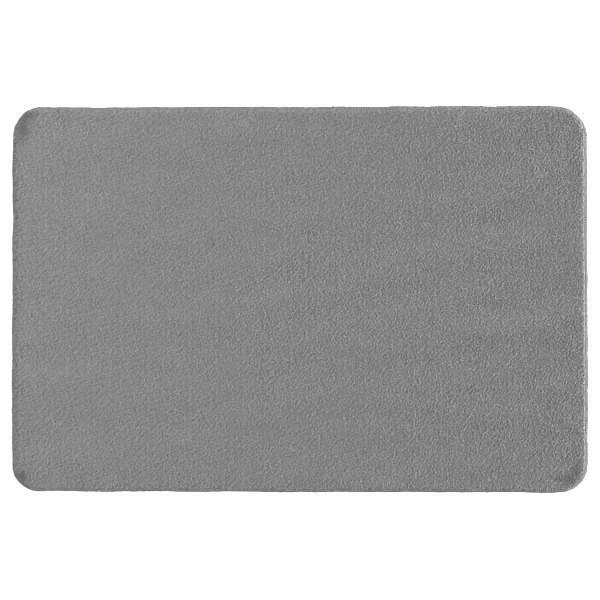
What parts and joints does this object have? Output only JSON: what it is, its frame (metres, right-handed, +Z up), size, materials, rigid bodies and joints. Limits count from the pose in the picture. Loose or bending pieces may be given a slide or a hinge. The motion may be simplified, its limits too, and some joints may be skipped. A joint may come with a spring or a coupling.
{
  "type": "bath mat",
  "caption": "Rectangular tufted plush bath mat with rounded corners, an overlocked edge and a non-slip rubber underside.",
  "frame": {"origin": "middle of the underside, on the floor", "axes": "+X along the long side, +Y along the short side, +Z up out of the pile"},
  "size_m": [0.898, 0.602, 0.013],
  "materials": {
    "plush_pile": "cut plush, soft, no shine",
    "ground_cloth": "plain weave",
    "tuft_lock_latex": "dull latex film",
    "backing_rubber": "dull, fine dimples",
    "seam_thread": "textured overlock yarn",
    "label_ribbon": "woven ribbon, blank"
  },
  "bodies": {
    "root": {"pile": "plush_pile", "ground_cloth": "ground_cloth", "tuft_lock_coat": "tuft_lock_latex", "anti_slip_backing": "backing_rubber", "needle_thread": "seam_thread", "upper_looper_thread": "seam_thread", "lower_looper_thread": "seam_thread", "care_label": "label_ribbon"}
  },
  "joints": []
}
